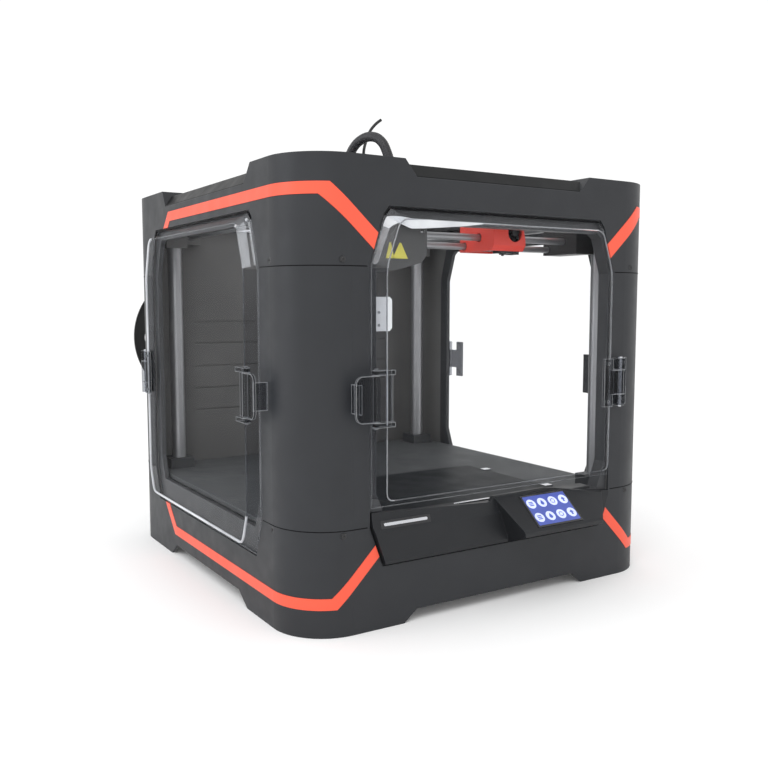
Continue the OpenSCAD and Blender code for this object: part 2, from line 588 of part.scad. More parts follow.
// closed belt loop: run between pulley centres, inner radius and thickness
module belt(run, r, t) difference() {
    union() {
        square([run, 2*(r + t)], center = true);
        for (s = [-1, 1]) translate([s*run/2, 0]) circle(r + t);
    }
    square([run, 2*r], center = true);
    for (s = [-1, 1]) translate([s*run/2, 0]) circle(r);
}
module y_belts() color(black) place() for (s = [-1, 1]) translate([s*197 - 3, 0, 440])
    rotate([90, 0, 90]) linear_extrude(6) belt(404, 7.2, 1.2);
module gantry_blocks() color(coral) place() for (s = [-1, 1]) {
    difference() {
        bar([s*175 - 15, gantry_y - 28, 396], [s*175 + 15, gantry_y + 31, 444]);
        translate([s*175, gantry_y, y_rod_z]) rotate([90, 0, 0])
            cylinder(h = 80, r = 5.06, center = true);
        for (p = x_rod_pos) translate([s*175, gantry_y + p[0], p[1]]) rotate([0, 90, 0])
            translate([0, 0, s > 0 ? -20 : -11]) cylinder(h = 31, r = 4);
        translate([s*175, gantry_y, 438]) cylinder(h = 20, r = 2.5);
    }
    // belt arm under the belt's lower run
    bar([s > 0 ? 189 : -202, gantry_y + 5, 428.6], [s > 0 ? 202 : -189, gantry_y + 19, 431]);
}
module x_rods() color(steel) place() for (p = x_rod_pos) translate([0, gantry_y + p[0], p[1]])
    rotate([0, 90, 0]) cylinder(h = 372, r = 4, center = true);
module cable_rail() color(darker) place() {
    bar([-186, gantry_y + 35, 445], [186, gantry_y + 43, 449]);
    for (s = [-1, 1]) bar([s*175 - 11, gantry_y + 20, 444], [s*175 + 11, gantry_y + 43, 449]);
    difference() {
        bar([-25, gantry_y + 31, 448], [9, gantry_y + 47, 458]);
        translate([-14, gantry_y + 39, 456]) cylinder(h = 10, r = 6.6);
        translate([-2, gantry_y + 39, 453]) cylinder(h = 10, r = 4.1);
    }
}
module x_motor() color(darker) place() translate([-175, gantry_y, 0]) {
    bar([-17, -17, 456], [17, 17, 482]);
    for (sx = [-1, 1], sy = [-1, 1]) translate([sx*12.5, sy*12.5, 444]) cylinder(h = 12, r = 2);
}
module x_wheel(s) translate([s*175, gantry_y, 0]) {
    translate([0, 0, 445.4]) cylinder(h = 8, r = 6);
    translate([0, 0, 438.2]) cylinder(h = 17.6, r = 2.4);
}
module x_pulley() color(steel) place() x_wheel(-1);
module x_idler() color(steel) place() x_wheel(1);
module x_belt() color(black) place() translate([0, gantry_y, 446.4])
    linear_extrude(6) belt(350, 6.2, 1.2);

// ---- print head -------------------------------------------------------------------------------
module head_carriage() color(darker) place() translate([head_x, gantry_y, 0]) difference() {
    union() {
        bar([-18, -9.2, 398.5], [18, 29, 419]);
        bar([-18, -28.5, 418.9], [18, 29, 423]);
    }
    for (p = x_rod_pos) translate([0, p[0], p[1]]) rotate([0, 90, 0])
        cylinder(h = 80, r = 4.06, center = true);
    translate([0, -19, 400]) cylinder(h = 30, r = 4.02);
}
module head_cover() color(coral) place() translate([head_x, gantry_y, 0]) {
    difference() {
        union() {
            intersection() {
                along_x(-24, 24)
                    polygon([[-32, 402],[-27, 396],[32, 396],[32, 444],[-24, 444],[-32, 434]]);
                along_y(-40, 40)
                    polygon([[-24, 390],[24, 390],[24, 408],[16, 446],[-20, 446],[-24, 430]]);
            }
            bar([-9, 3, 443], [9, 9.6, 454]);
            translate([0, -19, 443]) cylinder(h = 13, r = 4.6);
            translate([-5, 24, 443]) cylinder(h = 10, r = 5.2);
        }
        intersection() {
            along_x(-21.5, 21.5)
                polygon([[-29.5, 403],[-25.5, 395],[29.5, 395],[29.5, 441.5],[-23, 441.5],[-29.5, 433]]);
            along_y(-40, 40)
                polygon([[-21.5, 390],[21.5, 390],[21.5, 408],[14, 443],[-18, 443],[-21.5, 429]]);
        }
        for (p = x_rod_pos) translate([0, p[0], p[1]]) rotate([0, 90, 0])
            cylinder(h = 80, r = 5, center = true);
        bar([-40, 5.6, 444.4], [40, 7.9, 455]);
        translate([0, -19, 430]) cylinder(h = 25, r = 1.2);
        translate([-5, 24, 450]) cylinder(h = 10, r = 4);
        translate([8, -31, 417]) rotate([90, 0, 0]) cylinder(h = 6, r = 10.4, center = true);
    }
    // posts that tie the cover to the carriage
    for (sx = [-1, 1]) bar([sx*12 - 3, -4, 423], [sx*12 + 3, 4, 442]);
}
module hotend() color([0.75, 0.62, 0.32]) place() translate([head_x, gantry_y - 19, 0]) {
    for (i = [0:4]) translate([0, 0, 401.5 + i*3.4]) cylinder(h = 2, r = 9.5);
    translate([0, 0, 398]) cylinder(h = 25, r = 4);
    bar([-9, -7, 393.6], [9, 7, 399]);
    translate([0, 0, 392]) cylinder(h = 2, r = 4);
    translate([0, 0, 390.6]) cylinder(h = 2, r = 1.5);
    // blower duct
    difference() {
        bar([11, -6, 392.4], [20, 8, 399]);
        bar([13, -4, 391], [18, 6, 397.5]);
    }
    bar([14, -7.9, 398.9], [18, 7, 418.9]);
}
module head_fan() color(black) place()
    translate([head_x + 8, gantry_y - 32, 417]) rotate([-90, 0, 0]) {
        cylinder(h = 3, r = 4);
        for (i = [0:6]) rotate([0, 0, i*360/7]) translate([3.2, -0.6, 0.2]) rotate([18, 0, 0])
            cube([6.2, 1, 2.6]);
    }

// ---- cable loom and guide tube ----------------------------------------------------------------
function unit(v) = v / max(norm(v), 1e-9);
function tang(p, i) = unit(p[min(i + 1, len(p) - 1)] - p[max(i - 1, 0)]);
// points every fraction of a span on a smooth curve through the route
function crom(a, b, c, d, t) = 0.5*(2*b + (c - a)*t + (2*a - 5*b + 4*c - d)*t*t
    + (3*b - 3*c + d - a)*t*t*t);
function dense(p, m) = [for (i = [0:len(p) - 2], k = [0:m - 1])
    crom(p[max(i - 1, 0)], p[i], p[i + 1], p[min(i + 2, len(p) - 1)], k/m), p[len(p) - 1]];
function side(t, u) = unit(cross(abs(t*u) > 0.9 ? [0, 1, 0] : u, t));
function ring_at(p, i, r, n, u) = let (t = tang(p, i), a = side(t, u), b = cross(t, a))
    [for (k = [0:n - 1]) p[i] + r*(cos(360*k/n)*a + sin(360*k/n)*b)];
module sweep(pts, r, n, m, u) {
    p = dense(pts, m);
    c = len(p);
    v = [for (i = [0:c - 1]) each ring_at(p, i, r, n, u)];
    f = [for (i = [0:c - 2], k = [0:n - 1]) each [[i*n + k, (i + 1)*n + k, i*n + (k + 1) % n],
        [i*n + (k + 1) % n, (i + 1)*n + k, (i + 1)*n + (k + 1) % n]]];
    ends = [[for (k = [0:n - 1]) k], [for (k = [n - 1:-1:0]) (c - 1)*n + k]];
    polyhedron(points = v, faces = concat(f, ends));
}
module loom() color(black) place() sweep(loom_pts, 6.3, 12, 3, [1, 0, 0]);
module head_loom() color(black) place() sweep(loom2_pts, 3.8, 10, 3, [0, 1, 0]);
module guide_tube() color(black) place() sweep(tube_pts, 2, 8, 3, [1, 0, 0]);

base_housing();
upper_housing();
corner_columns();
back_panel();
back_liner();
door_frames();
accent_strips();
bottom_plate();
rubber_feet();
floor_pan();
case_screws();
console();
touch_screen();
name_plate();
label_plate();
door_sensor();
electronics();
power_inlet();
power_switch();
fan_rotor();
reel_holder();
reel();
filament();
front_pane();
left_pane();
right_pane();
front_fittings();
left_fittings();
right_fittings();
case_leaves();
hinge_pins();
front_latch();
left_latch();
right_latch();
guide_rods();
rod_mounts();
lift_table();
z_bearings();
lead_screw();
heated_bed();
bed_clips();
stepper_motors();
top_frame();
y_shaft();
y_idlers();
y_belts();
gantry_blocks();
x_rods();
cable_rail();
x_motor();
x_pulley();
x_idler();
x_belt();
head_carriage();
head_cover();
hotend();
head_fan();
loom();
head_loom();
guide_tube();
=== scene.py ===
import json
import math

import bpy
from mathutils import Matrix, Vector


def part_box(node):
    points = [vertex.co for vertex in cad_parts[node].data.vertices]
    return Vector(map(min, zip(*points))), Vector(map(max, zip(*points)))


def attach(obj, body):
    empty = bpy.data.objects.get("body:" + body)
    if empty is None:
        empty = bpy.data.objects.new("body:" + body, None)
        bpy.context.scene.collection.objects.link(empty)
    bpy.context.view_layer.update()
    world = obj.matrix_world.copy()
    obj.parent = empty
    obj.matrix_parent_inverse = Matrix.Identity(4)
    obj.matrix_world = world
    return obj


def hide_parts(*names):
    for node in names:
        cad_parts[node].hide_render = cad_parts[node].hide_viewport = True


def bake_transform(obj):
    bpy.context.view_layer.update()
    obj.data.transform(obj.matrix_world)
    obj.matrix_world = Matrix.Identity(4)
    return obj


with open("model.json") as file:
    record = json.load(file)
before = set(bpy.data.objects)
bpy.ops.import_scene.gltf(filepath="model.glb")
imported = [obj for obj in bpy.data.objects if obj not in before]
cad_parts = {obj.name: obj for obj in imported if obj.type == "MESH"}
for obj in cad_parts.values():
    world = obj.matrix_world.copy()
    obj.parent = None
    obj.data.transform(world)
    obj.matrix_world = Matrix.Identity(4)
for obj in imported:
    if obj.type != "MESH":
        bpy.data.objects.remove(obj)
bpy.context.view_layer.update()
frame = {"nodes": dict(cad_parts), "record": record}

NODE = frame["nodes"]
MM = 0.001

# ---- sizes, in millimetres from the middle of the case --------------------------------------------
# as the CAD model has them
case_lo, case_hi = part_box("upper_housing")
CASE_Y = (case_lo.y + case_hi.y) / 2 / MM          # the case's middle along y
HALF_W, HALF_D = (case_hi.x - case_lo.x) / 2 / MM, (case_hi.y - case_lo.y) / 2 / MM
CORNER_R = 60                                      # the case's rounded upright corners
SEAM_LOW, SEAM_HIGH = 109, 372                     # the joints above the base and below the top
SHELF_Z = 116                                      # the shelf under the front door
DOOR_HX, DOOR_HY, DOOR_TOP = 170, 178, 432         # half widths of front and side doors; their top
SIDE_DOOR_LOW, FRONT_DOOR_LOW = 66, 126            # the doors' lower edges
BULGE = 12                                         # how far the doors' crowns stand out
TUBE_R, LOOM_R, HEAD_LOOM_R = 2, 6.3, 3.8          # the guide tube and the two looms
# of the pieces that only this file makes
FOOT_INSET, CROWN_INSET = 2.2, 13.2                # the beads at the foot and crown of a door's slope
CROWN_R = 9                                        # the rounded corners of the crown's bead
FILM = 0.2                                         # thickness of the sheets on the slopes
LOOM_PITCH, HEAD_LOOM_PITCH = 3.4, 2.6             # from rib to rib


def at(x, y, z):
    """A point of the case, in metres in the row frame."""
    return Vector((x, y + CASE_Y, z)) * MM


# ---- camera ---------------------------------------------------------------------------------------
def make_camera():
    """The camera at the photograph's viewing angle."""
    data = bpy.data.cameras.new("camera")
    data.lens, data.sensor_width = 40.57, 36
    data.clip_start, data.clip_end = 0.05, 50
    camera = bpy.data.objects.new("camera", data)
    camera.location = at(-616.3, -1000.6, 337)
    camera.rotation_euler = (math.radians(90 - 5.43), 0, math.radians(-32.19))
    bpy.context.scene.collection.objects.link(camera)
    bpy.context.scene.camera = camera


make_camera()


# ---- small builders -------------------------------------------------------------------------------
def smooth_path(points, step):
    """Points every step along a Catmull-Rom curve through the given ones."""
    dense, fine = [], 24
    for i in range(len(points) - 1):
        a, b = points[max(i - 1, 0)], points[i]
        c, d = points[i + 1], points[min(i + 2, len(points) - 1)]
        for k in range(fine):
            t = k / fine
            dense.append(0.5 * (2 * b + (c - a) * t + (2 * a - 5 * b + 4 * c - d) * t * t
                                + (3 * b - 3 * c + d - a) * t ** 3))
    dense.append(points[-1])
    out, left = [dense[0]], step
    for p, q in zip(dense, dense[1:]):
        length, done = (q - p).length, 0.0
        while length - done >= left:
            done += left
            left = step
            out.append(p.lerp(q, done / length))
        left -= length - done
    if (out[-1] - dense[-1]).length > step * 0.3:
        out.append(dense[-1])
    else:
        out[-1] = dense[-1]
    return out


def new_piece(name, verts, faces, body, smooth=True):
    """A mesh object that rides the body (none leaves it without one)."""
    mesh = bpy.data.meshes.new(name)
    mesh.from_pydata([tuple(v) for v in verts], [], faces)
    mesh.validate()
    for poly in mesh.polygons:
        poly.use_smooth = smooth
    piece = bpy.data.objects.new(name, mesh)
    bpy.context.scene.collection.objects.link(piece)
    if body:
        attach(piece, body)
    return piece


def tube_mesh(path, radius_at, sides, closed=False, side=Vector((1, 0, 0))):
    """Vertices and faces of a tube along a path, with its own radius at every point."""
    verts, faces, n = [], [], len(path)
    for i, p in enumerate(path):
        before = path[i - 1] if closed or i else path[0]
        after = path[(i + 1) % n] if closed or i < n - 1 else path[-1]
        t = (after - before).normalized()
        side = (side - t * side.dot(t)).normalized()
        other = t.cross(side)
        r = radius_at(i)
        for k in range(sides):
            a = 2 * math.pi * k / sides
            verts.append(p + side * (r * math.cos(a)) + other * (r * math.sin(a)))
    for i in range(n if closed else n - 1):
        j = (i + 1) % n
        for k in range(sides):
            m = (k + 1) % sides
            faces.append((i * sides + k, i * sides + m, j * sides + m, j * sides + k))
    if not closed:
        faces.append(tuple(range(sides))[::-1])
        faces.append(tuple((n - 1) * sides + k for k in range(sides)))
    return verts, faces


def corrugated(name, points, radius, pitch):
    """A ribbed loom: its radius goes down to the valleys and up to the ribs once in every pitch."""
    path = smooth_path(points, pitch / 4)
    valley = 0.86
    shape = [valley, 1.0, 1.0, valley]

    def radius_at(i):
        return radius * (valley if i in (0, len(path) - 1) else shape[i % 4])

    verts, faces = tube_mesh(path, radius_at, 20)
    return new_piece(name, verts, faces, None)


def solid_outline(outline, to_point, low, high, bevel):
    """A bevelled slab: outline is a list of (u, v), to_point turns (u, v, w) into a point in metres."""
    n = len(outline)
    cu = sum(p[0] for p in outline) / n
    cv = sum(p[1] for p in outline) / n

    def inset(p, d):
        du, dv = p[0] - cu, p[1] - cv
        length = math.hypot(du, dv)
        return p[0] - du / length * d, p[1] - dv / length * d

    rings = [(0, low), (0, high - bevel), (bevel * 0.3, high - bevel * 0.3), (bevel, high)]
    verts = [to_point(*inset(p, d), w) for d, w in rings for p in outline]
    faces = [tuple(range(n))[::-1]]
    for r in range(len(rings) - 1):
        for k in range(n):
            m = (k + 1) % n
            faces.append((r * n + k, r * n + m, (r + 1) * n + m, (r + 1) * n + k))
    faces.append(tuple((len(rings) - 1) * n + k for k in range(n)))
    return verts, faces


def rounded(u0, v0, u1, v1, r, steps=5):
    """The outline of a rectangle with rounded corners."""
    points = []
    for cu, cv, a0 in ((u1 - r, v1 - r, 0), (u0 + r, v1 - r, 90),
                       (u0 + r, v0 + r, 180), (u1 - r, v0 + r, 270)):
        for k in range(steps + 1):
            a = math.radians(a0 + 90 * k / steps)
            points.append((cu + r * math.cos(a), cv + r * math.sin(a)))
    return points


# ---- guide tube and looms: routes in millimetres of the case --------------------------------------
GUIDE_TUBE = [(50, -204, 456), (50, -204, 463), (49, -202, 471), (48, -195, 480), (46, -182, 487),
              (41, -160, 491), (35, -130, 493), (28, -100, 494), (20, -70, 495), (12, -42, 496),
              (5, -18, 498), (0, 1, 504), (-3, 15, 514), (-3, 24, 527), (0, 30, 541), (5, 32, 555),
              (12, 33, 569), (21, 34, 579), (30, 34, 586)]
LOOM = [(-14, 221, 466), (-14, 221, 471), (-14, 221, 478), (-14, 214, 490), (-14, 196, 497),
        (-14, 160, 499), (-14, 110, 500), (-14, 78, 503), (-14, 61, 512), (-14, 51, 526),
        (-14, 41, 539), (-14, 24, 549), (-14, 0, 553), (-14, -24, 549), (-14, -41, 539),
        (-14, -51, 526), (-14, -60, 511), (-14, -72, 497),
        (-14, -92, 488), (-14, -116, 484), (-14, -134, 479), (-14, -143, 471), (-14, -146, 464),
        (-14, -146, 460), (-14, -146, 456)]
HEAD_LOOM = [(-2, -146, 453), (-2, -146, 457), (-2, -146, 461), (1, -146, 468), (8, -147, 477),
             (19, -149, 483), (31, -153, 483), (40, -157, 477), (44, -160, 468), (45, -161, 460),
             (45, -161, 455), (45, -161, 450)]


def make_guide_tube():
    """The stiff tube from the head's fitting to its bare end above the case."""
    path = smooth_path([at(*p) for p in GUIDE_TUBE], 0.002)
    verts, faces = tube_mesh(path, lambda i: TUBE_R * MM, 16)
    tube = new_piece("guide_tube_line", verts, faces, "head")
    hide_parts("guide_tube")
    return tube


# ---- materials ------------------------------------------------------------------------------------
class Nodes:
    """A material's node tree with its Principled shader, and short calls that add to it."""

    def __init__(self, name):
        self.material = bpy.data.materials.new(name)
        self.material.use_nodes = True
        self.tree = self.material.node_tree
        self.shader = self.tree.nodes["Principled BSDF"]
        self.output = self.tree.nodes["Material Output"]
        self.place = self.add("ShaderNodeTexCoord").outputs["Object"]

    def add(self, kind, **inputs):
        node = self.tree.nodes.new(kind)
        for key, value in inputs.items():
            self.set(node, key, value)
        return node

    def set(self, node, key, value):
        """Links or sets an input by its name, or by its number when the key is like _0."""
        socket = node.inputs[int(key[1:])] if key[0] == "_" and key[1:].isdigit() else node.inputs[key]
        if isinstance(value, bpy.types.NodeSocket):
            self.tree.links.new(value, socket)
        else:
            socket.default_value = value

    def noise(self, scale, detail=2.0, stretch=None):
        source = self.place
        if stretch:
            source = self.add("ShaderNodeMapping", Vector=source, Scale=stretch).outputs[0]
        return self.add("ShaderNodeTexNoise", Vector=source, Scale=scale, Detail=detail).outputs["Fac"]

    def span(self, value, low, high, start=0.3, end=0.7):
        """The value's way from start to end, as low to high."""
        node = self.add("ShaderNodeMapRange")
        for key, v in (("Value", value), ("From Min", start), ("From Max", end),
                       ("To Min", low), ("To Max", high)):
            self.set(node, key, v)
        return node.outputs[0]

    def blend(self, factor, a, b):
        node = self.tree.nodes.new("ShaderNodeMix")
        node.data_type = "RGBA"
        for socket, v in ((node.inputs[0], factor), (node.inputs[6], a), (node.inputs[7], b)):
            if isinstance(v, bpy.types.NodeSocket):
                self.tree.links.new(v, socket)
            else:
                socket.default_value = v
        return node.outputs[2]

    def soft_normal(self, radius):
        node = self.add("ShaderNodeBevel", Radius=radius)
        node.samples = 6
        return node.outputs[0]

    def edge_mask(self, soft):
        """1 where the softened normal leaves the face's own one, along edges."""
        face = self.add("ShaderNodeNewGeometry").outputs["True Normal"]
        dot = self.add("ShaderNodeVectorMath", _0=soft, _1=face)
        dot.operation = "DOT_PRODUCT"
        return self.span(dot.outputs["Value"], 1.0, 0.0, 0.90, 0.995)

    def bump(self, height, strength, distance, normal=None):
        node = self.add("ShaderNodeBump", Height=height, Strength=strength, Distance=distance)
        if normal is not None:
            self.set(node, "Normal", normal)
        return node.outputs[0]


def rgb(*c):
    """The colour with full alpha."""
    return (*c, 1.0)


def shade(color, k):
    """The colour made k times as bright."""
    return rgb(*(min(1.0, x * k) for x in color))


def moulded(name, color, rough=0.48, grain=1400, depth=0.00006, soft=0.0008, edge_light=1.5, spread=0.08,
            metal=0.0, specular=0.4, stretch=None, coat=0.0):
    """Moulded, painted or machined surface: slight mottling, fine grain, and a painted highlight along the
    edges (painted shade where the edge factor is below 1).
    """
    m = Nodes(name)
    mottle = m.noise(14, 3.0)
    mottled = m.blend(m.span(mottle, 0.0, 1.0), shade(color, 1 - spread), shade(color, 1 + spread))
    normal = m.soft_normal(soft)
    # Painted highlight along the edges: their colour is scaled by the edge factor, lighter above 1 and
    # darker (painted shade) below 1.
    edge_lit = m.blend(m.edge_mask(normal), mottled, shade(color, edge_light))
    m.set(m.shader, "Base Color", edge_lit)
    fine = m.noise(grain, 2.0, stretch)
    m.set(m.shader, "Normal", m.bump(fine, 0.35, depth, normal))
    m.set(m.shader, "Roughness", m.span(m.noise(45, 4.0), rough - 0.05, rough + 0.06))
    m.set(m.shader, "Metallic", metal)
    m.set(m.shader, "Specular IOR Level", specular)
    m.set(m.shader, "Coat Weight", coat)
    m.set(m.shader, "Coat Roughness", 0.08)
    return m.material


def two_tone(name, outer, inner, rough, specular):
    """The case's moulding: its inner side, inside the rounded wall and below the top, is paler."""
    m = Nodes(name)
    inside_top = 0.454
    place = m.add("ShaderNodeVectorMath", _0=m.place, _1=(0, CASE_Y * MM, 0))
    place.operation = "SUBTRACT"
    folded = m.add("ShaderNodeVectorMath", _0=place.outputs[0])
    folded.operation = "ABSOLUTE"
    # the height of 9 m is out of reach, so that only x and y count
    past = m.add("ShaderNodeVectorMath", _0=folded.outputs[0],
                 _1=((HALF_W - CORNER_R) * MM, (HALF_D - CORNER_R) * MM, 9))
    past.operation = "SUBTRACT"
    corner = m.add("ShaderNodeVectorMath", _0=past.outputs[0], _1=(0, 0, 0))
    corner.operation = "MAXIMUM"
    reach = m.add("ShaderNodeVectorMath", _0=corner.outputs[0])
    reach.operation = "LENGTH"
    within = m.span(reach.outputs["Value"], 1.0, 0.0, (CORNER_R - 3) * MM, (CORNER_R - 2) * MM)
    height = m.add("ShaderNodeSeparateXYZ", Vector=m.place).outputs[2]
    below = m.span(height, 1.0, 0.0, inside_top - 0.0005, inside_top + 0.0005)
    inside = m.add("ShaderNodeMath", _0=within, _1=below)
    inside.operation = "MULTIPLY"
    mottle = m.span(m.noise(14, 3.0), 0.0, 1.0)
    normal = m.soft_normal(0.0008)
    # Painted highlight: the skin is 1.9 times as bright along the edges.
    skin = m.blend(m.edge_mask(normal), m.blend(mottle, shade(outer, 0.92), shade(outer, 1.08)),
                   shade(outer, 1.9))
    lining = m.blend(mottle, shade(inner, 0.94), shade(inner, 1.06))
    m.set(m.shader, "Base Color", m.blend(inside.outputs[0], skin, lining))
    m.set(m.shader, "Normal", m.bump(m.noise(1400), 0.35, 0.00006, normal))
    m.set(m.shader, "Roughness", m.span(m.noise(45, 4.0), rough - 0.05, rough + 0.06))
    m.set(m.shader, "Specular IOR Level", specular)
    return m.material


def clear_sheet(name, tint, gloss=0.12, haze_and_highlight=0.03, rim=None, rim_highlight=0.0, streaks=None):
    """Clear moulded sheet: light goes through it tinted and glances off by Fresnel; its white film is real
    haze, and a painted highlight where strong and along the edges.
    """
    m = Nodes(name)
    film_noise = m.span(m.noise(60, 2.0, streaks) if streaks else m.noise(9, 4.0), 0.0, 1.0, 0.35, 0.7)
    see = m.add("ShaderNodeBsdfTransparent", Color=rgb(*tint))
    shine = m.add("ShaderNodeBsdfAnisotropic", Color=rgb(1, 1, 1))
    m.set(shine, "Roughness", m.span(film_noise, 0.015, 0.05, 0.0, 1.0))
    # The white film: real haze in small amounts, a painted highlight in large ones.
    film = m.add("ShaderNodeBsdfDiffuse", Color=rgb(0.82, 0.84, 0.87))
    hazed_and_lit = m.add("ShaderNodeMixShader", _1=see.outputs[0], _2=film.outputs[0])
    dust_and_highlight = m.span(film_noise, haze_and_highlight * 0.4, haze_and_highlight, 0.0, 1.0)
    # Painted highlight along the edges, by the rim amount.
    if rim:
        edge = m.add("ShaderNodeMath", _0=m.edge_mask(m.soft_normal(rim)), _1=rim_highlight)
        edge.operation = "MULTIPLY"
        dust_and_highlight = m.add("ShaderNodeMath", _0=dust_and_highlight, _1=edge.outputs[0]).outputs[0]
    m.set(hazed_and_lit, "Fac", dust_and_highlight)
    fresnel = m.add("ShaderNodeFresnel", IOR=1.3)
    front = m.add("ShaderNodeMath", _0=gloss, _1=m.add("ShaderNodeNewGeometry").outputs["Backfacing"])
    front.operation = "SUBTRACT"
    front.use_clamp = True
    share = m.add("ShaderNodeMath", _0=fresnel.outputs[0], _1=front.outputs[0])
    share.operation = "MULTIPLY"
    both = m.add("ShaderNodeMixShader", Fac=share.outputs[0], _1=hazed_and_lit.outputs[0], _2=shine.outputs[0])
    m.set(m.output, "Surface", both.outputs[0])
    m.tree.nodes.remove(m.shader)
    return m.material


def capped(name, low_color, high_color, height):
    """Moulded block whose upper part, above the height, has another colour."""
    m = Nodes(name)
    z = m.add("ShaderNodeSeparateXYZ", Vector=m.place).outputs[2]
    step = m.span(z, 0.0, 1.0, height - 0.0004, height + 0.0004)
    tone = m.blend(m.span(m.noise(14, 3.0), 0.0, 0.12), rgb(*high_color), shade(high_color, 0.8))
    m.set(m.shader, "Base Color", m.blend(step, rgb(*low_color), tone))
    m.set(m.shader, "Roughness", m.span(m.noise(45, 4.0), 0.38, 0.48))
    m.set(m.shader, "Normal", m.bump(m.noise(1200), 0.35, 0.00005, m.soft_normal(0.0008)))
    m.set(m.shader, "Specular IOR Level", 0.3)
    return m.material


def glowing(name, color, strength):
    """A lit part of the screen."""
    m = Nodes(name)
    tone = m.blend(m.span(m.noise(60, 2.0), 0, 1), shade(color, 0.92), shade(color, 1.06))
    m.set(m.shader, "Base Color", tone)
    m.set(m.shader, "Emission Color", tone)
    m.set(m.shader, "Emission Strength", strength)
    m.set(m.shader, "Roughness", 0.25)
    return m.material


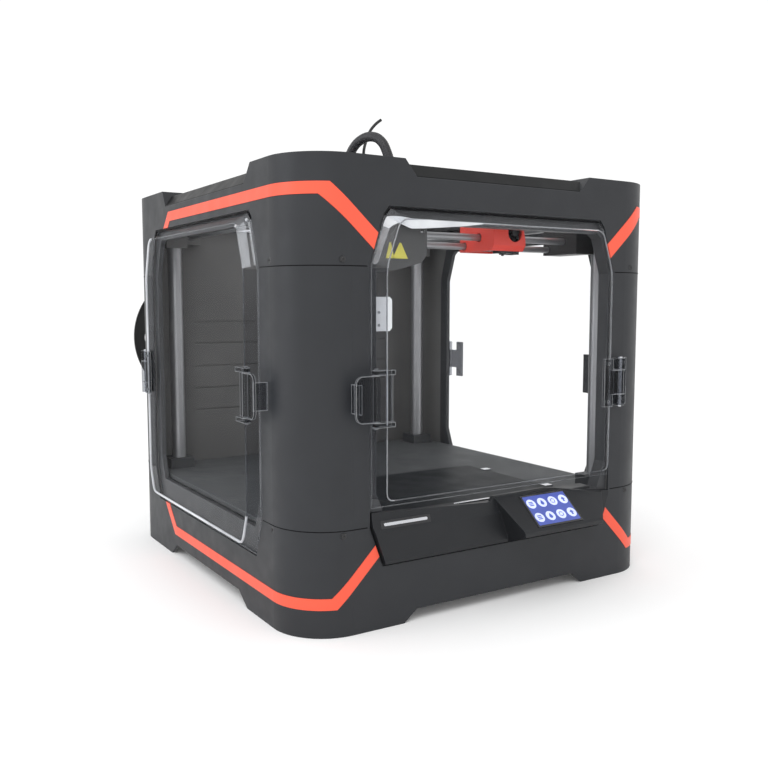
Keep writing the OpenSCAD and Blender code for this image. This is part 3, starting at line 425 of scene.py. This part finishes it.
GREY = (0.0215, 0.0230, 0.0262)
CORAL = (0.87, 0.099, 0.050)
M = {
    "body_grey": two_tone("body_grey", GREY, (0.15, 0.15, 0.15), 0.46, 0.33),
    "frame_grey": moulded("frame_grey", (0.050, 0.052, 0.056), 0.46, edge_light=1.5, specular=0.25),
    "plate_grey": moulded("plate_grey", (0.070, 0.071, 0.073), 0.5, edge_light=1.2, specular=0.2),
    "console_grey": moulded("console_grey", shade(GREY, 0.72)[:3], 0.44, edge_light=1.9, specular=0.26),
    "inner_grey": moulded("inner_grey", (0.115, 0.115, 0.115), 0.5, edge_light=1.4, specular=0.3),
    "coral": moulded("coral", CORAL, 0.42, grain=1100, soft=0.0006, edge_light=0.75, spread=0.03),
    "head_red": moulded("head_red", (0.78, 0.070, 0.052), 0.38, grain=1100, soft=0.0006, edge_light=0.8,
                        spread=0.04),
    "black_plastic": moulded("black_plastic", (0.012, 0.012, 0.013), 0.42, edge_light=1.8),
    "deck": moulded("deck", (0.085, 0.089, 0.093), 0.5, grain=900, depth=0.00003, edge_light=1.4,
                    specular=0.05),
    "bed_black": moulded("bed_black", (0.020, 0.022, 0.025), 0.45, grain=2200, depth=0.00002, edge_light=1.6,
                         specular=0.04),
    "rod_steel": moulded("rod_steel", (0.36, 0.365, 0.38), 0.42, grain=500, depth=0.00002, edge_light=1.1,
                         metal=0.85, spread=0.04, stretch=(1, 1, 0.05)),
    "steel": moulded("steel", (0.62, 0.63, 0.66), 0.2, grain=500, depth=0.00002, edge_light=1.1, metal=1.0,
                     spread=0.04, stretch=(1, 1, 0.05)),
    "zinc": moulded("zinc", (0.50, 0.51, 0.53), 0.34, grain=700, depth=0.00003, edge_light=1.15, metal=1.0,
                    stretch=(0.06, 1, 1)),
    "motor_black": moulded("motor_black", (0.02, 0.02, 0.021), 0.4, edge_light=1.8),
    "frame_black": moulded("frame_black", (0.022, 0.022, 0.024), 0.4, edge_light=2.0, stretch=(0.2, 0.2, 1)),
    "rubber": moulded("rubber", (0.012, 0.012, 0.012), 0.75, grain=900, edge_light=1.4),
    "belt": moulded("belt", (0.014, 0.014, 0.015), 0.7, grain=900, soft=0.0002, edge_light=1.4),
    "loom": moulded("loom", (0.014, 0.014, 0.016), 0.38, grain=900, soft=0.0004, edge_light=2.4),
    "screen": moulded("screen", (0.006, 0.006, 0.009), 0.12, grain=600, depth=0.00001, edge_light=1.5,
                      coat=0.4),
    "white": moulded("white", (0.72, 0.74, 0.76), 0.45, edge_light=1.05, spread=0.03),
    "brass": moulded("brass", (0.72, 0.50, 0.20), 0.3, grain=700, metal=1.0, edge_light=1.15),
    "board": moulded("board", (0.02, 0.10, 0.045), 0.4, grain=700, edge_light=1.3),
    "filament": moulded("filament", (0.70, 0.70, 0.67), 0.3, grain=300, depth=0.00004, edge_light=1.05),
    "clear": clear_sheet("clear", (0.994, 0.995, 0.996), 0.05, haze_and_highlight=0.004),
    "clear_shaded": clear_sheet("clear_shaded", (0.34, 0.345, 0.36), 0.15, haze_and_highlight=0.012, rim=0.0014,
                              rim_highlight=0.12),
    "clear_thick": clear_sheet("clear_thick", (0.62, 0.63, 0.65), 0.2, haze_and_highlight=0.012, rim=0.0014,
                               rim_highlight=0.36),
    # Painted light from here to the bend sheet: clear_bright, clear_white, clear_edge, clear_faint, sheen
    # and glance paint highlights and reflections; the bend sheet paints shade.
    "clear_bright": clear_sheet("clear_bright", (0.62, 0.64, 0.67), 1.0, haze_and_highlight=0.85),
    "clear_white": clear_sheet("clear_white", (0.8, 0.82, 0.84), 0.3, haze_and_highlight=1.0),
    "clear_edge": clear_sheet("clear_edge", (0.62, 0.64, 0.67), 1.0, haze_and_highlight=0.34),
    "clear_faint": clear_sheet("clear_faint", (0.70, 0.71, 0.73), 0.5, haze_and_highlight=0.14),
    "sheen": clear_sheet("sheen", (0.985, 0.988, 0.99), 0.3, haze_and_highlight=0.24, streaks=(2, 2, 0.2)),
    "glance": clear_sheet("glance", (0.975, 0.978, 0.983), 0.2, haze_and_highlight=0.03),
    "bend_shade": clear_sheet("bend_shade", (0.85, 0.853, 0.867), 0.06, haze_and_highlight=0.002),
    "gantry_block": capped("gantry_block", (0.030, 0.030, 0.031), CORAL, 0.430),
    "grip_shade": moulded("grip_shade", (0.008, 0.0085, 0.009), 0.4, edge_light=1.2, specular=0.12),
    "joint_and_shadow_line": moulded("joint_and_shadow_line", (0.004, 0.004, 0.005), 0.7, edge_light=1.0, specular=0.1),
    "screen_blue": glowing("screen_blue", (0.045, 0.07, 0.30), 0.55),
    "icon": glowing("icon", (0.50, 0.55, 0.80), 0.55),
    "icon_dark": glowing("icon_dark", (0.06, 0.10, 0.42), 0.3),
    "label_yellow": moulded("label_yellow", (0.50, 0.46, 0.085), 0.5, grain=500, edge_light=1.05, spread=0.10),
}


# CAD nodes that look unlike their material slot
CLEAR_BLOCKS = ("front_fittings", "left_fittings", "right_fittings", "case_leaves", "front_latch",
                "left_latch", "right_latch")
OWN_LOOKS = {
    "gantry_blocks": "gantry_block", "guide_rods": "rod_steel", "x_rods": "rod_steel",
    "door_frames": "frame_grey", "z_bearings": "frame_grey", "back_panel": "frame_grey",
    "label_plate": "plate_grey", "rod_mounts": "inner_grey", "name_plate": "frame_black",
    "hotend": "motor_black", "console": "console_grey", "head_cover": "head_red",
}


def paint(obj, key):
    """Gives the object the material, in every slot it has."""
    slots = obj.material_slots
    if slots:
        for slot in slots:
            slot.material = M[key]
    else:
        obj.data.materials.append(M[key])


def paint_cad():
    """Materials of the CAD nodes, from the record's slots and the two lists above."""
    slots = {part["node"]: part["material_slot"] for part in frame["record"]["subparts"]}
    for name, obj in NODE.items():
        paint(obj, slots[name])
    for name in CLEAR_BLOCKS:
        # The right side's blocks get a darker copy of the clear material: painted shade on the far side.
        paint(NODE[name], "clear_shaded" if name.startswith("right") else "clear_thick")
    for name, key in OWN_LOOKS.items():
        paint(NODE[name], key)


# ---- looms ----------------------------------------------------------------------------------------
def make_looms():
    """The two looms, built as ribbed tubes that ride no body."""
    loom = corrugated("loom_tube", [at(*p) for p in LOOM], LOOM_R * MM, LOOM_PITCH * MM)
    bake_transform(loom)
    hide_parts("loom")
    short = corrugated("head_loom_tube", [at(*p) for p in HEAD_LOOM], HEAD_LOOM_R * MM,
                       HEAD_LOOM_PITCH * MM)
    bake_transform(short)
    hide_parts("head_loom")
    for piece in (loom, short):
        paint(piece, "loom")


# ---- door shapes ----------------------------------------------------------------------------------
def front_place(stand):
    """The function from (sideways, up) on the front, standing out by stand, to a point in metres."""
    return lambda u, v: at(u, -HALF_D - stand, v)


def left_place(stand):
    """The same on the left side."""
    return lambda u, v: at(-HALF_W - stand, u, v)


def right_place(stand):
    """The same on the right side."""
    return lambda u, v: at(HALF_W + stand, u, v)


# name, place, half width, lower edge, and whether the lower corners are straight
DOORS = (("front", front_place, DOOR_HX, FRONT_DOOR_LOW, True),
         ("left", left_place, DOOR_HY, SIDE_DOOR_LOW, False),
         ("right", right_place, DOOR_HY, SIDE_DOOR_LOW, False))
SEEN_DOORS = DOORS[:2]                             # those that the picture shows from outside


def upper_corner(half, d):
    """The points of a door's slanted upper corner, inset by d, as (sideways, up) in millimetres."""
    return [(half - d, DOOR_TOP - 59 - 0.2 * d), (half - 16 - 0.9 * d, DOOR_TOP - 8 - 0.8 * d),
            (half - 23 - 0.9 * d, DOOR_TOP - d)]


def door_outline(half, low, d, straight_foot):
    """The door's whole outline, inset by d."""
    foot = [(half - d, low + d)] if straight_foot else [
        (half - 15 - 0.8 * d, low + d), (half - d, low + 41 + 0.3 * d)]
    right = foot + upper_corner(half, d)
    return right + [(-u, v) for u, v in reversed(right)]


def corner_point(half, k, d):
    """A place on the door's upper corner at the inset d, as (sideways, up, standing out).

    k runs 0 to 1 up the slanted side, to 2 round the corner and to 3 at the middle of the top edge.
    """
    run = upper_corner(half, d) + [(0, DOOR_TOP - d)]
    i = min(int(k), 2)
    (u0, v0), (u1, v1) = run[i], run[i + 1]
    rise = (d - FOOT_INSET) / (CROWN_INSET - FOOT_INSET)
    return u0 + (u1 - u0) * (k - i), v0 + (v1 - v0) * (k - i), BULGE * min(1, max(0, rise)) + 0.3


def round_corners(points, radius, steps=4):
    """The closed outline with each corner turned on a short arc."""
    out, n = [], len(points)
    for i in range(n):
        p = Vector(points[i])
        a, b = Vector(points[i - 1]) - p, Vector(points[(i + 1) % n]) - p
        r = min(radius, a.length * 0.4, b.length * 0.4)
        start, end = p + a.normalized() * r, p + b.normalized() * r
        for k in range(steps + 1):
            t = k / steps
            out.append((start * (1 - t) + p * t) * (1 - t) + (p * (1 - t) + end * t) * t)
    return out


def crown_outline(half, low, straight):
    """The outline of a door's raised middle, which reaches a little lower on the front door."""
    extra = 3 if straight else 0
    return round_corners(door_outline(half, low - extra, CROWN_INSET, straight), CROWN_R)


def pick(points, first, last):
    """The outline's points from the first corner to the last, going round."""
    n = len(points)
    return [points[k % n] for k in range(first, last + 1 if last >= first else last + n + 1)]


def run_where(points, wanted):
    """The connected run of a closed outline's points that pass the test."""
    n = len(points)
    start = next(k for k in range(n) if wanted(*points[k]) and not wanted(*points[k - 1]))
    out = []
    while wanted(*points[(start + len(out)) % n]) and len(out) < n:
        out.append(points[(start + len(out)) % n])
    return out


# ---- thin pieces on the doors ---------------------------------------------------------------------
def rim(name, path, radius, body, key, closed=False):
    """A bead along the path; radius is in millimetres, or a function of the place along it (0 to 1)."""
    size = radius if callable(radius) else (lambda t: radius)
    count = len(path)
    verts, faces = tube_mesh(path, lambda i: size(i / count) * MM, 8, closed=closed,
                             side=Vector((0.3, 0.5, 0.8)))
    piece = new_piece(name, verts, faces, body)
    paint(piece, key)


def facet(name, foot, crown, body, key):
    """A thin sheet over the slope between the door's foot and its crown."""
    last = len(foot) - 1
    flat = [(crown[k] - foot[k]).cross(foot[k + 1] - foot[k]).normalized() for k in range(last)]
    verts = []
    for k in range(last + 1):
        half = (flat[max(k - 1, 0)] + flat[min(k, last - 1)]).normalized() * (FILM * MM / 2)
        verts += [foot[k] + half, crown[k] + half, crown[k] - half, foot[k] - half]
    faces = [(3, 2, 1, 0), tuple(4 * last + j for j in range(4))]
    for k in range(last):
        for j in range(4):
            m = (j + 1) % 4
            faces.append((4 * k + j, 4 * k + m, 4 * k + 4 + m, 4 * k + 4 + j))
    piece = new_piece(name, verts, faces, body, smooth=False)
    paint(piece, key)


def streak(name, place, half, sign, stations, body, key):
    """A glancing band on the door's upper corner; each station is (k, outer inset, inner inset)."""
    edges = []
    for which in (2, 1):
        points = [corner_point(half, station[0], station[which]) for station in stations]
        edges.append([place(stand)(sign * u, v) for u, v, stand in points])
    facet(name, edges[1], edges[0], body, key)


def make_door_edges():
    """Beads round every door's foot and the two seen crowns, which are faint painted highlights, and a
    dark bead as painted shadow in the gap along each upper edge.
    """
    for tag, place, half, low, straight in DOORS:
        body = tag + "_door"
        foot = door_outline(half, low, FOOT_INSET, straight)
        n = len(foot) // 2
        if tag != "right":
            # Painted highlight: a faint light bead along the crown.
            crown = [place(BULGE - 0.8)(*p) for p in crown_outline(half, low, straight)]
            rim(tag + "_rim_crown", crown, 0.6, body, "clear_faint", closed=True)
        # Painted highlight: a faint light bead along the foot.
        lower = [place(-0.4)(*p) for p in pick(foot, n + 1, n - 2)]
        rim(tag + "_rim_foot", lower, 0.5, body, "clear_faint")
        # Painted shadow: a dark bead in the gap along the upper edge.
        upper = [place(-0.6)(*p) for p in pick(foot, n - 2, n + 1)]
        rim(tag + "_gap_shadow", upper, 1.1, body, "joint_and_shadow_line")


def make_glances():
    """Faint light on the slanted upper ends of the two doors that the picture shows from outside."""
    for tag, place, half, low, straight in SEEN_DOORS:
        for sign, side in ((1, "a"), (-1, "b")):
            stations = [(k, 2.4, CROWN_INSET) for k in (0.02, 0.5, 1, 2)]
            streak(f"{tag}_glance_{side}", place, half, sign, stations, tag + "_door", "glance")


def swell(t):
    """A glint's radius, fullest near its middle."""
    return 0.5 + 1.5 * math.sin(math.pi * min(1, t * 1.25))


def make_left_streaks():
    """The reflections on the left door's upper front corner."""
    streak("left_streak_wide", left_place, DOOR_HY, -1,
           [(0.02, 6.9, CROWN_INSET), (0.3, 6.6, CROWN_INSET), (0.6, 6.4, CROWN_INSET),
            (0.9, 6.0, CROWN_INSET), (1.1, 6.8, 12.4)], "left_door", "sheen")
    streak("left_streak_thin", left_place, DOOR_HY, -1,
           [(0.04, 3.0, 4.4), (0.35, 2.8, 4.4), (0.7, 2.8, 4.3), (0.95, 3.0, 4.2)], "left_door", "sheen")
    for side, k, d in (("a", 1.2, 12.6), ("b", 1.15, 4.6)):
        u, v, stand = corner_point(DOOR_HY, k, d)
        path = [left_place(stand + 0.1)(-u, v + 0.9 * step) for step in (-2, -1, 0, 1, 2)]
        rim("left_glint_" + side, path, swell, "left_door", "clear_bright")


def make_front_streaks():
    """The reflections on the front door's upper left corner."""
    streak("front_streak_side", front_place, DOOR_HX, -1,
           [(0.04, 2.6, 4.4), (0.1, 2.5, 6.2), (0.4, 2.5, 6.6), (0.7, 2.5, 7.0), (0.86, 2.7, 7.6)],
           "front_door", "sheen")
    streak("front_highlight", front_place, DOOR_HX, -1,
           [(0.8, 2.7, 6.8), (0.9, 2.8, 9.0), (1.0, 3.6, 11.8), (1.3, 5.6, 16.6), (1.6, 8.0, 20.2),
            (1.85, 10.0, 22.0), (2.0, 11.2, 22.4), (2.04, 12.2, 22.2), (2.12, 12.9, 21.6),
            (2.3, 13.1, 19.8), (2.5, 13.1, 17.6), (2.72, 13.1, 14.0)], "front_door", "clear_bright")


def make_bends():
    """Darker sheets on the slopes beside the crowns: painted shade where light goes a long way through the
    bend.
    """
    outer, inner, rows = FOOT_INSET + 0.4, CROWN_INSET - 0.3, 6
    for tag, place, half, low, straight in SEEN_DOORS:
        # from above the lower corner, which is slanted on the left door, to below the upper one
        start, end = low + (12 if straight else 45), DOOR_TOP - 62
        levels = [start + (end - start) * k / rows for k in range(rows + 1)]
        for sign, side in ((1, "a"), (-1, "b")):
            # Painted shade on the slope at each side.
            facet(f"{tag}_bend_{side}", [place(0.5)(sign * (half - outer), v) for v in levels],
                  [place(BULGE)(sign * (half - inner), v) for v in levels], tag + "_door", "bend_shade")


def make_rim_lights():
    """Brighter beads along the stretches of the crowns that catch the light."""
    stand = BULGE - 0.6
    front, left = front_place(stand), left_place(stand)
    front_crown = crown_outline(DOOR_HX, FRONT_DOOR_LOW, True)
    left_crown = crown_outline(DOOR_HY, SIDE_DOOR_LOW, False)
    for name, place, crown, body, test, key, r in (
            ("left_rim_light", left, left_crown, "left_door",
             lambda u, v: u > 60 or v < 115, "clear_white", 1.4),
            ("front_rim_left", front, front_crown, "front_door",
             lambda u, v: u < -60 and v > 128, "clear_edge", 0.75),
            ("front_rim_right", front, front_crown, "front_door",
             lambda u, v: u > 60 and v > 128, "clear_edge", 0.7),
            ("front_rim_top", front, front_crown, "front_door",
             lambda u, v: abs(u) < 132 and v > 400, "clear_edge", 0.8)):
        rim(name, [place(*p) for p in run_where(crown, test)], r, body, key)
    glint_x = min(u for u, v in front_crown)
    rim("front_rim_glint", [front(glint_x, v) for v in range(214, 271, 14)], 0.95, "front_door",
        "clear_bright")


# ---- seams of the case ----------------------------------------------------------------------------
def make_seams():
    """The fine dark joints between base, corner columns and top."""
    r, steps, past_door = CORNER_R, 12, 3
    turn = [math.pi / 2 * k / steps for k in range(steps + 1)]
    for level, z in (("low", SEAM_LOW), ("high", SEAM_HIGH)):
        for sx, x_letter in ((-1, "l"), (1, "r")):
            for sy, y_letter in ((-1, "f"), (1, "b")):
                arc = [(sx * (HALF_W - r + r * math.sin(a)), sy * (HALF_D - r + r * math.cos(a)))
                       for a in turn]
                run = [(sx * (DOOR_HX + past_door), sy * HALF_D)] + arc
                run.append((sx * HALF_W, sy * (DOOR_HY + past_door)))
                path = [at(x, y, z) for x, y in run]
                verts, faces = tube_mesh(path, lambda i: 0.5 * MM, 6, side=Vector((0, 0, 1)))
                piece = new_piece(f"seam_{level}_{x_letter}{y_letter}", verts, faces, "case")
                paint(piece, "joint_and_shadow_line")


# ---- touch screen ---------------------------------------------------------------------------------
def make_screen():
    """The screen's blue picture and its eight round icons, on the console's slope."""
    slope_drop, slope_run, slope_top = 30, 36, 122
    tilt = math.atan2(slope_drop, slope_run)

    def on_slope(x, u, w):
        y = -HALF_D + 1 - u * math.cos(tilt) - w * math.sin(tilt)
        return at(x, y, slope_top - u * math.sin(tilt) + w * math.cos(tilt))

    def slab(name, outline, low, high, bevel, key):
        flipped = [(u, v) for u, v in outline][::-1]
        verts, faces = solid_outline(flipped, on_slope, low, high, bevel)
        piece = new_piece(name, verts, faces, "case", smooth=False)
        paint(piece, key)

    left, right, top, foot = 26.5, 88.8, 8.6, 48.4
    slab("screen_picture", rounded(left, top, right, foot, 1.0), 0.4, 0.75, 0.05, "screen_blue")
    icon_r, column_pitch, row_pitch = 6.3, 16.1, 19.0
    for row in range(2):
        for column in range(4):
            cx = left + 7.0 + column * column_pitch
            cy = top + 10.6 + row * row_pitch
            disc = [(cx + icon_r * math.cos(a), cy + icon_r * math.sin(a))
                    for a in (2 * math.pi * k / 28 for k in range(28))]
            slab(f"icon_{row}_{column}", disc, 0.7, 0.95, 0.08, "icon")
            make_glyph(slab, f"glyph_{row}_{column}", column, cx, cy)


def make_glyph(slab, name, column, cx, cy):
    """A plain sign on a round icon: bars, a drop, a ring of dots or an arrow, by its column."""
    def sign(part, outline):
        slab(part, outline, 0.9, 1.1, 0.05, "icon_dark")

    if column == 0:
        for k in (-1, 0, 1):
            y = cy + k * 2.1
            sign(f"{name}_{k + 1}", rounded(cx - 3, y - 0.6, cx + 3, y + 0.6, 0.4, 2))
    elif column == 1:
        drop = [(cx + 2.4 * math.sin(a), cy + 1 + 2.4 * math.cos(a)) for a in
                (math.radians(d) for d in range(-130, 131, 20))] + [(cx, cy - 3.6)]
        sign(name, drop)
    elif column == 2:
        for k in range(8):
            a = math.pi * k / 4
            u, v = cx + 2.8 * math.cos(a), cy + 2.8 * math.sin(a)
            sign(f"{name}_{k}", rounded(u - 0.7, v - 0.7, u + 0.7, v + 0.7, 0.3, 2))
    else:
        sign(name, [(cx, cy - 3.2), (cx + 3.2, cy), (cx + 1.2, cy), (cx + 1.2, cy + 3.2),
                    (cx - 1.2, cy + 3.2), (cx - 1.2, cy), (cx - 3.2, cy)])


# ---- stickers, highlight strip, plate and shaded grips --------------------------------------------
def make_patches():
    """Two plain yellow patches on the dark plate behind the front door."""
    plate_face = 13

    def on_label(x, z, w):
        return at(x, -HALF_D + plate_face - w, z)

    low, high = 381, 397
    for k, (x, half) in enumerate(((-137.8, 5.2), (-125.4, 9.4))):
        outline = [(x - half, low), (x + half, low), (x + 1, high), (x - 1, high)]
        verts, faces = solid_outline(outline, on_label, -0.1, 0.25, 0.08)
        piece = new_piece(f"caution_patch_{k}", verts, faces, "case", smooth=False)
        paint(piece, "label_yellow")


def make_shelf_strip():
    """The pale steel strip on the shelf under the front door: a painted highlight along the door's lower
    edge.
    """
    def on_shelf(x, y, w):
        return at(x, y, SHELF_Z + w)

    # Painted highlight: a bright steel strip where the door's lower edge catches the light.
    verts, faces = solid_outline(rounded(-54, -252.9, -4, -249.5, 1.4), on_shelf, -0.2, 0.8, 0.3)
    paint(new_piece("shelf_highlight", verts, faces, "case", smooth=False), "steel")


def make_name_bar():
    """A plain pale bar on the blank name plate."""
    lo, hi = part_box("name_plate")
    lean = math.atan2(hi.z - lo.z, hi.y - lo.y)
    middle = (lo + hi) / 2

    def on_plate(u, v, w):
        return middle + Vector((u, v * math.cos(lean) - w * math.sin(lean),
                                v * math.sin(lean) + w * math.cos(lean))) * MM

    verts, faces = solid_outline(rounded(-27, -1.6, 27, 1.6, 1.5), on_plate, -0.2, 0.9, 0.2)
    paint(new_piece("name_bar", verts, faces, "case", smooth=False), "steel")


def make_grips():
    """Dark sheets in the grips along the case's top edges: painted shade in their recesses."""
    above, below = Vector((0, 0, 0.7)) * MM, Vector((0, 0, 0.3)) * MM
    for name, half_lo, half_hi, shift, place in (
            ("grip_front", 113, 123, 0, lambda u, s: (u, -HALF_D - 1 + 12.6 * s, 461 + 15 * s)),
            ("grip_left", 126, 141, -14, lambda u, s: (-HALF_W - 1 + 12.6 * s, u, 458 + 15.5 * s))):
        outline = [(shift - half_lo, 0.12), (shift + half_lo, 0.12),
                   (shift + half_hi, 0.97), (shift - half_hi, 0.97)]
        top = [at(*place(*p)) + above for p in outline]
        foot = [at(*place(*p)) - below for p in outline]
        faces = [(0, 1, 2, 3), (7, 6, 5, 4)]
        faces += [(k, k + 4, (k + 1) % 4 + 4, (k + 1) % 4) for k in range(4)]
        if name == "grip_left":
            faces = [f[::-1] for f in faces]
        # Painted shade: dark sheets where the grips' recesses lie in shade.
        paint(new_piece(name, top + foot, faces, "case", smooth=False), "grip_shade")


# ---- filament on the reel -------------------------------------------------------------------------
def make_winding():
    """The outer layer of wound filament, over a plain ring that reaches in to the reel's hub."""
    lo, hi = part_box("filament")
    centre = (lo + hi) / 2
    radius, thick, hub = (hi.x - lo.x) / 2, 0.00175, 0.0292
    turns = int((hi.y - lo.y) / thick) - 1
    sides, path = 72, []
    for k in range(turns * sides + 1):
        a = 2 * math.pi * k / sides
        r = radius - thick / 2
        y = lo.y + thick / 2 + (hi.y - lo.y - thick) * k / (turns * sides)
        path.append(Vector((centre.x + r * math.cos(a), y, centre.z + r * math.sin(a))))
    verts, faces = tube_mesh(path, lambda i: thick / 2, 6, side=Vector((0, 1, 0)))
    base = len(verts)
    for y in (lo.y, hi.y):
        for r in (hub, radius - thick * 0.8):
            for k in range(sides):
                a = 2 * math.pi * k / sides
                verts.append(Vector((centre.x + r * math.cos(a), y, centre.z + r * math.sin(a))))
    for k in range(sides):
        m = (k + 1) % sides
        a, b, c, d = (base + sides * j for j in range(4))
        faces += [(a + k, b + k, b + m, a + m), (c + m, d + m, d + k, c + k),
                  (b + k, d + k, d + m, b + m), (a + m, c + m, c + k, a + k)]
    piece = new_piece("filament_winding", verts, faces, "reel")
    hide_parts("filament")
    paint(piece, "filament")


# ---- stage ----------------------------------------------------------------------------------------
def make_stage():
    """The pale floor and the even white surroundings."""
    half = 6
    mesh = bpy.data.meshes.new("floor")
    corners = [(-half, -half, 0), (half, -half, 0), (half, half, 0), (-half, half, 0)]
    mesh.from_pydata(corners, [], [(0, 1, 2, 3)])
    floor = bpy.data.objects.new("floor", mesh)
    bpy.context.scene.collection.objects.link(floor)
    m = Nodes("floor")
    tone = m.blend(m.noise(3, 2.0), rgb(0.93, 0.93, 0.93), rgb(0.96, 0.96, 0.96))
    m.set(m.shader, "Base Color", tone)
    m.set(m.shader, "Roughness", 0.9)
    m.set(m.shader, "Specular IOR Level", 0.1)
    m.set(m.shader, "Emission Color", tone)
    m.set(m.shader, "Emission Strength", 0.05)
    mesh.materials.append(m.material)
    world = bpy.data.worlds.new("studio")
    world.use_nodes = True
    background = world.node_tree.nodes["Background"]
    background.inputs["Color"].default_value = (1, 1, 1, 1)
    background.inputs["Strength"].default_value = 1.05
    bpy.context.scene.world = world


def make_light(name, place, target, size, power, color=(1, 1, 1)):
    """A rectangular light at the place, turned to the target, all in metres."""
    data = bpy.data.lights.new(name, "AREA")
    data.shape, data.size, data.size_y = "RECTANGLE", size[0], size[1]
    data.energy, data.color = power, color
    light = bpy.data.objects.new(name, data)
    light.location = place
    light.rotation_euler = (Vector(target) - Vector(place)).to_track_quat("-Z", "Y").to_euler()
    bpy.context.scene.collection.objects.link(light)


def make_lights():
    """A soft key from the front left and a cooler fill from the left."""
    middle = (0, 0, 0.25)
    make_light("key", (-1.6, -1.6, 2.2), middle, (1.6, 1.2), 22)
    make_light("left", (-2.4, 0.3, 0.9), middle, (1.2, 1.6), 10, (0.92, 0.95, 1.0))


guide_tube = make_guide_tube()
paint(guide_tube, "black_plastic")
make_looms()
paint_cad()
make_door_edges()
make_glances()
make_left_streaks()
make_front_streaks()
make_bends()
make_rim_lights()
make_seams()
make_screen()
make_patches()
make_shelf_strip()
make_name_bar()
make_grips()
make_winding()
make_stage()
make_lights()
bpy.context.scene.view_settings.view_transform = "Standard"
